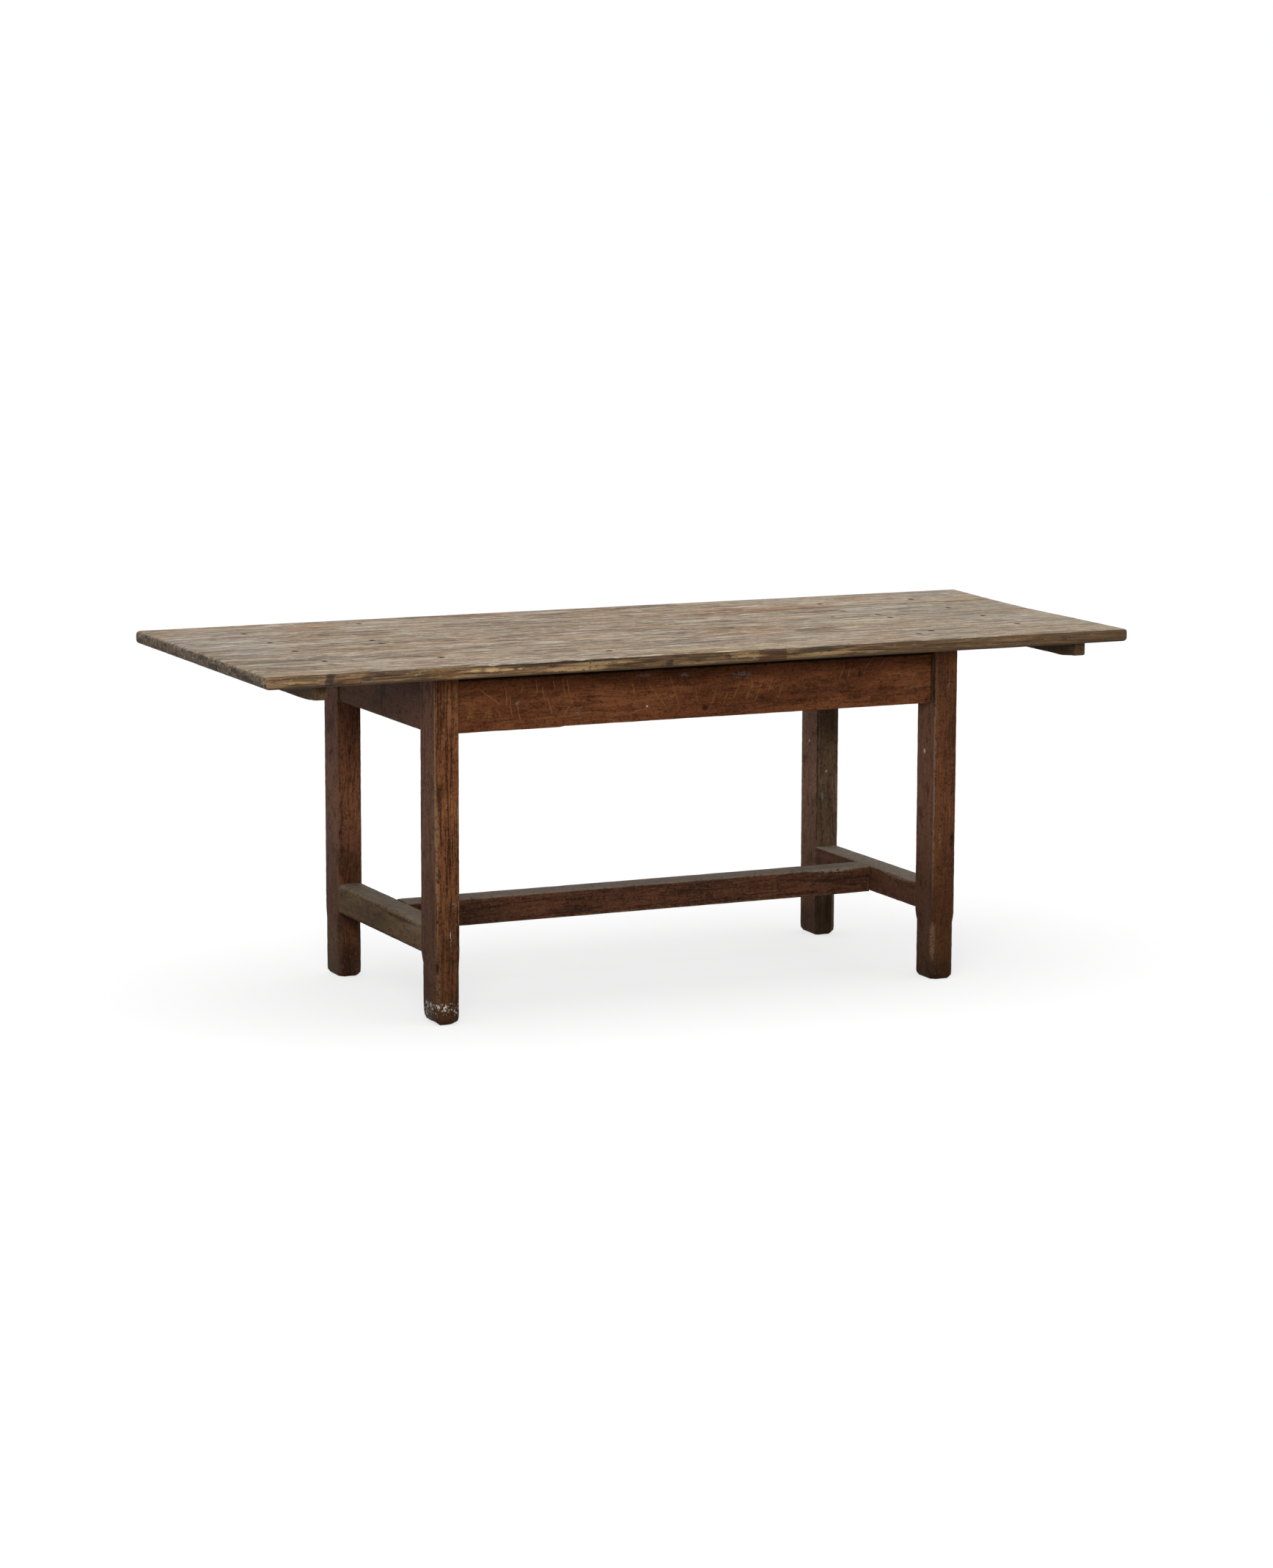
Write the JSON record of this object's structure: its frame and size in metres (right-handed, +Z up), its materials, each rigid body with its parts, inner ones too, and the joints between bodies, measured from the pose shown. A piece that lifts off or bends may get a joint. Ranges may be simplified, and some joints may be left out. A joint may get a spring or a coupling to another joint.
{
  "type": "farmhouse table",
  "caption": "Old farmhouse table: weathered plank top with battens under its ends, pegged red-brown frame, H stretcher.",
  "frame": {"origin": "on the floor under the middle of the top", "axes": "+X along the table to its right end, +Y from its front edge to its back edge, +Z up"},
  "size_m": [2.0288, 0.7948, 0.765],
  "materials": {
    "weathered_plank": "weathered, unfinished",
    "red_brown_stain": "worn satin stain",
    "dark_batten": "bare, darkened",
    "peg_wood": "worn",
    "old_iron": "rusted, dull"
  },
  "bodies": {
    "root": {"back_rail": "red_brown_stain", "batten_nail_left_1": "old_iron", "batten_nail_left_2": "old_iron", "batten_nail_left_3": "old_iron", "batten_nail_left_4": "old_iron", "batten_nail_right_1": "old_iron", "batten_nail_right_2": "old_iron", "batten_nail_right_3": "old_iron", "batten_nail_right_4": "old_iron", "cleat_left": "dark_batten", "cleat_right": "dark_batten", "cleat_screw_left_1": "old_iron", "cleat_screw_left_2": "old_iron", "cleat_screw_left_3": "old_iron", "cleat_screw_left_4": "old_iron", "cleat_screw_right_1": "old_iron", "cleat_screw_right_2": "old_iron", "cleat_screw_right_3": "old_iron", "cleat_screw_right_4": "old_iron", "end_rail_left": "red_brown_stain", "end_rail_nail_left_1": "old_iron", "end_rail_nail_left_2": "old_iron", "end_rail_nail_right_1": "old_iron", "end_rail_nail_right_2": "old_iron", "end_rail_peg_back_left_lower": "peg_wood", "end_rail_peg_back_left_upper": "peg_wood", "end_rail_peg_back_right_lower": "peg_wood", "end_rail_peg_back_right_upper": "peg_wood", "end_rail_peg_front_left_lower": "peg_wood", "end_rail_peg_front_left_upper": "peg_wood", "end_rail_peg_front_right_lower": "peg_wood", "end_rail_peg_front_right_upper": "peg_wood", "end_rail_right": "red_brown_stain", "end_stretcher_left": "red_brown_stain", "end_stretcher_right": "red_brown_stain", "front_rail": "red_brown_stain", "front_rail_nail_1": "old_iron", "front_rail_nail_2": "old_iron", "leg_back_left": "red_brown_stain", "leg_back_right": "red_brown_stain", "leg_front_left": "red_brown_stain", "leg_front_right": "red_brown_stain", "leg_nail_1": "old_iron", "leg_nail_2": "old_iron", "leg_nail_3": "old_iron", "long_rail_peg_back_left_lower": "peg_wood", "long_rail_peg_back_left_upper": "peg_wood", "long_rail_peg_back_right_lower": "peg_wood", "long_rail_peg_back_right_upper": "peg_wood", "long_rail_peg_front_left_lower": "peg_wood", "long_rail_peg_front_left_upper": "peg_wood", "long_rail_peg_front_right_lower": "peg_wood", "long_rail_peg_front_right_upper": "peg_wood", "long_stretcher": "red_brown_stain", "top_board_1": "weathered_plank", "top_board_2": "weathered_plank", "top_board_3": "weathered_plank", "top_board_4": "weathered_plank"}
  },
  "joints": []
}
